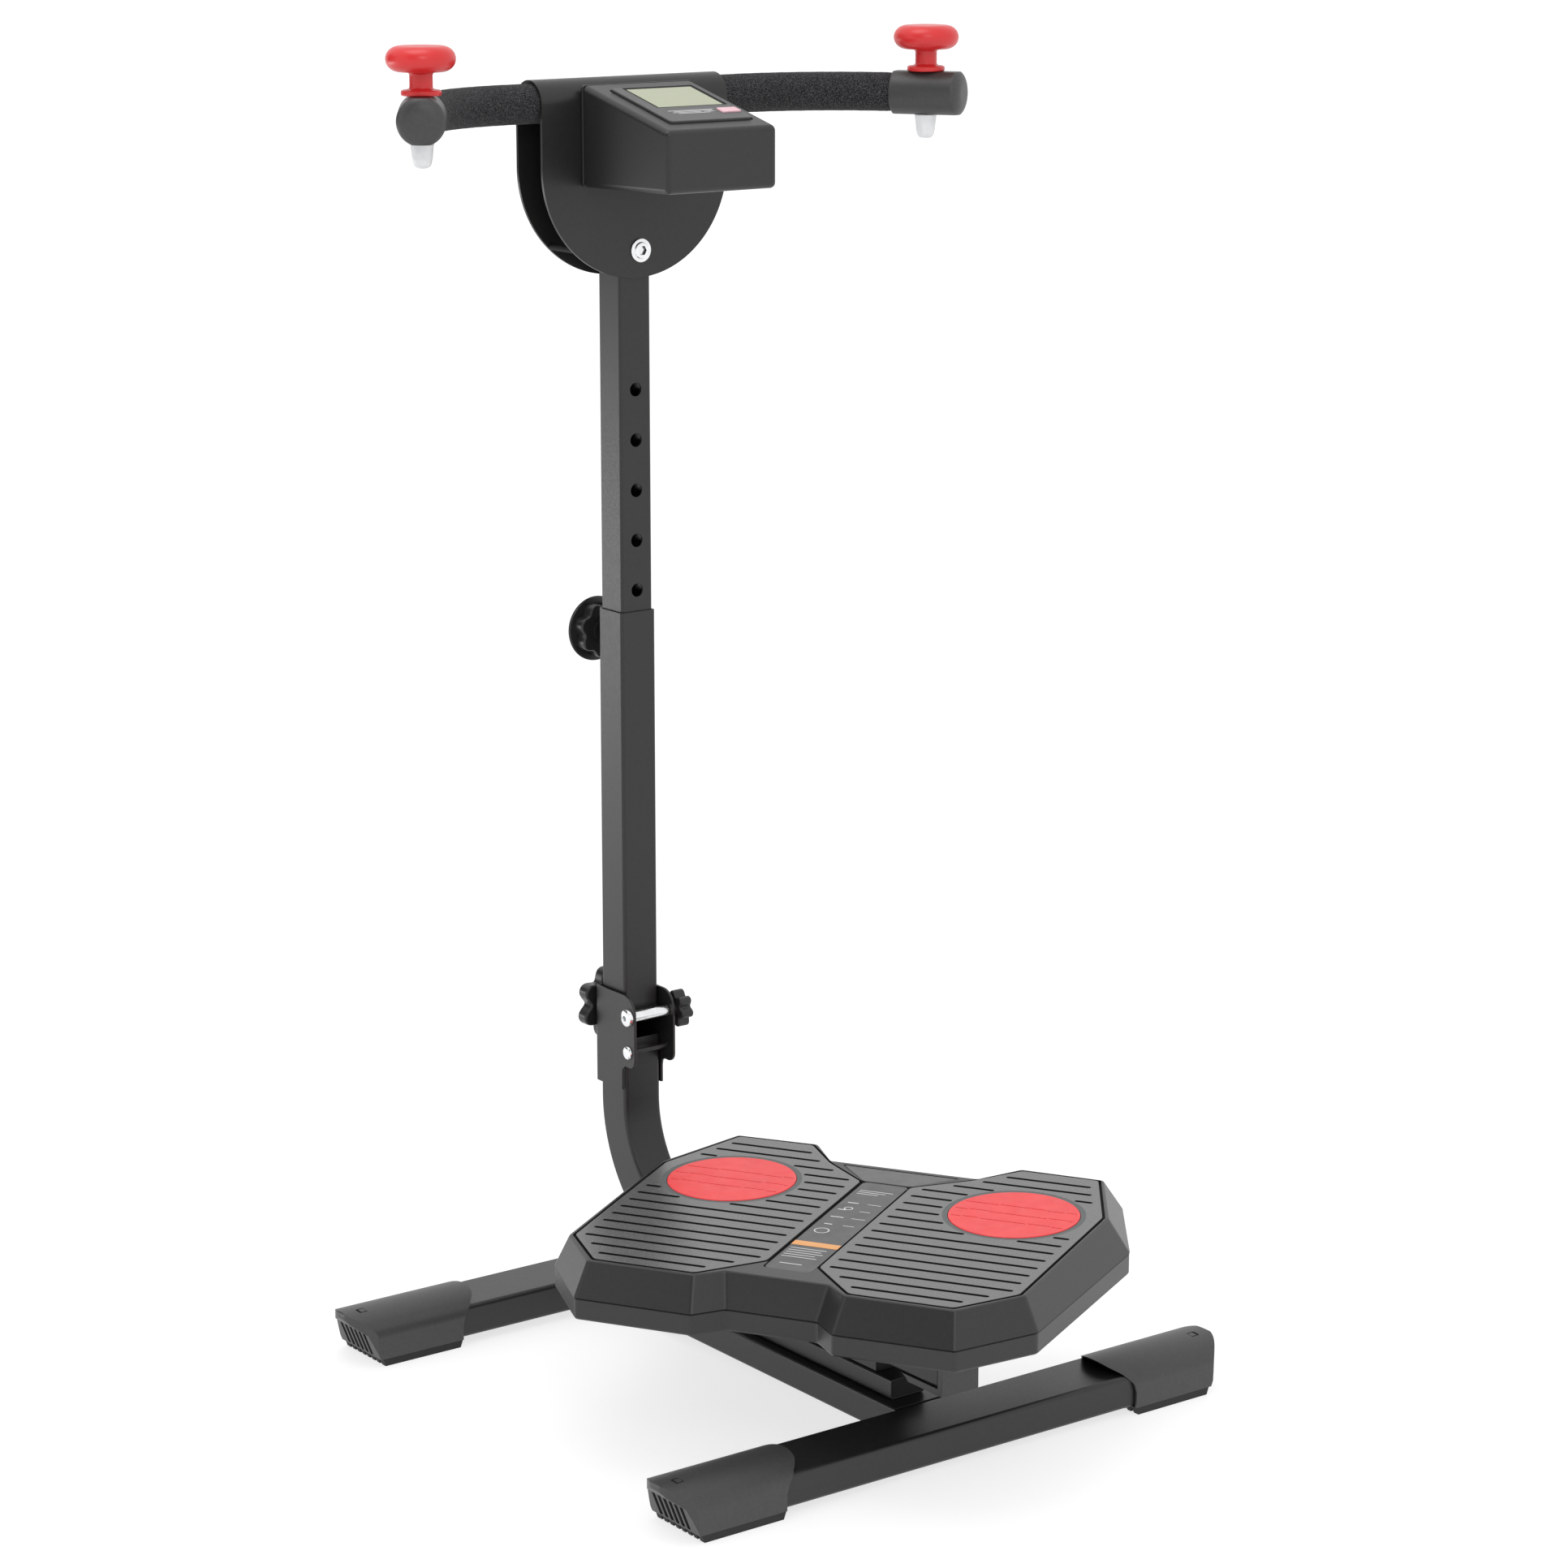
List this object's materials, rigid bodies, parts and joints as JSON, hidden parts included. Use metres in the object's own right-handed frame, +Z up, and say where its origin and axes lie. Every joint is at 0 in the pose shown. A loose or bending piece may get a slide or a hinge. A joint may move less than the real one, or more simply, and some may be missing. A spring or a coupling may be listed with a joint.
{
  "type": "twist stepper",
  "caption": "Twist stepper: a grooved foot platform that turns on a low steel frame, with a folding, height-adjustable handlebar post and a small console.",
  "frame": {"origin": "on the floor, under the middle of the bounding box", "axes": "+Z up, the user stands on the platform facing +Y, where the post is; +X is the user's right"},
  "size_m": [0.662, 0.727, 1.3004],
  "materials": {
    "frame_paint": "satin black powder coat",
    "cap_plastic": "fine grained dark grey",
    "foot_rubber": "matt black",
    "shell_plastic": "fine grained dark grey",
    "mat_rubber": "matt mid grey",
    "massage_red": "semi gloss red",
    "zinc_plate": "bright zinc plate",
    "steel": "bare steel",
    "foam": "open textured black foam",
    "clear_tip": "frosted white",
    "screen": "grey green display",
    "button_pink": "pale pink",
    "label_dark": "satin dark grey film",
    "label_pale": "satin mid grey film"
  },
  "bodies": {
    "frame": {"front_stabiliser": "frame_paint", "rear_stabiliser": "frame_paint", "base_beam": "frame_paint", "base_rail": "frame_paint", "arm_spacer_front": "frame_paint", "arm_spacer_rear": "frame_paint", "arm_tube": "frame_paint", "arm_end_cap": "cap_plastic", "foot_cap_front_left": "cap_plastic", "foot_pad_front_left": "foot_rubber", "foot_cap_front_right": "cap_plastic", "foot_pad_front_right": "foot_rubber", "foot_cap_rear_left": "cap_plastic", "foot_pad_rear_left": "foot_rubber", "foot_cap_rear_right": "cap_plastic", "foot_pad_rear_right": "foot_rubber", "fold_bracket": "frame_paint", "pivot_bolt": "zinc_plate", "stop_pin": "zinc_plate", "turntable_base": "frame_paint", "turntable_bearing": "steel", "pivot_shaft": "steel"},
    "platform": {"turntable_top": "frame_paint", "platform_tray": "shell_plastic", "platform_shell": "shell_plastic", "mat_left": "mat_rubber", "massage_pad_left": "massage_red", "mat_right": "mat_rubber", "massage_pad_right": "massage_red", "label_panel": "label_dark", "back_plate": "label_pale"},
    "post": {"post_tube": "frame_paint", "hinge_sleeve": "zinc_plate", "pin_housing": "cap_plastic"},
    "mast": {"mast_tube": "frame_paint", "saddle_plate": "frame_paint", "saddle_tie_left": "frame_paint", "saddle_tie_right": "frame_paint", "saddle_bolt": "zinc_plate", "saddle_nut": "zinc_plate", "bar_cradle": "frame_paint", "handlebar_tube": "frame_paint", "grip_left": "foam", "end_cap_left": "cap_plastic", "massage_knob_left": "massage_red", "knob_tip_left": "clear_tip", "grip_right": "foam", "end_cap_right": "cap_plastic", "massage_knob_right": "massage_red", "knob_tip_right": "clear_tip", "console_housing": "cap_plastic", "console_bezel": "cap_plastic", "console_screen": "screen"},
    "reset_button": {"console_button": "button_pink"},
    "pull_knob": {"pull_knob": "cap_plastic", "pull_pin": "steel"},
    "fold_knob": {"fold_knob": "cap_plastic", "fold_knob_screw": "steel"},
    "side_knob": {"side_knob": "cap_plastic"}
  },
  "joints": [
    {"name": "platform_twist", "type": "hinge", "parent": "frame", "child": "platform", "pos_m": [0, -0.076, 0.13], "axis": [0, 0, 1], "range_deg": [-6.6, 123.4]},
    {"name": "post_fold", "type": "hinge", "parent": "frame", "child": "post", "pos_m": [0, 0.2605, 0.319], "axis": [1, 0, 0], "range_deg": [0, 85]},
    {"name": "mast_height", "type": "slide", "parent": "post", "child": "mast", "axis": [0, 0, 1], "range_m": [-0.25, 0]},
    {"name": "lock_pin_pull", "type": "slide", "parent": "post", "child": "pull_knob", "axis": [0, 1, 0], "range_m": [0, 0.008], "stiffness_N_per_m": 600, "springref_m": -0.004},
    {"name": "fold_knob_turn", "type": "hinge", "parent": "frame", "child": "fold_knob", "pos_m": [0, 0.331, 0.316], "axis": [0, 1, 0], "range_deg": [0, 720]},
    {"name": "side_knob_turn", "type": "hinge", "parent": "frame", "child": "side_knob", "pos_m": [0.035, 0.2605, 0.319], "axis": [1, 0, 0], "range_deg": [0, 720]},
    {"name": "reset_button_press", "type": "slide", "parent": "mast", "child": "reset_button", "axis": [0, 0.2443, -0.9697], "range_m": [0, 0.0015], "stiffness_N_per_m": 400, "springref_m": -0.001}
  ]
}
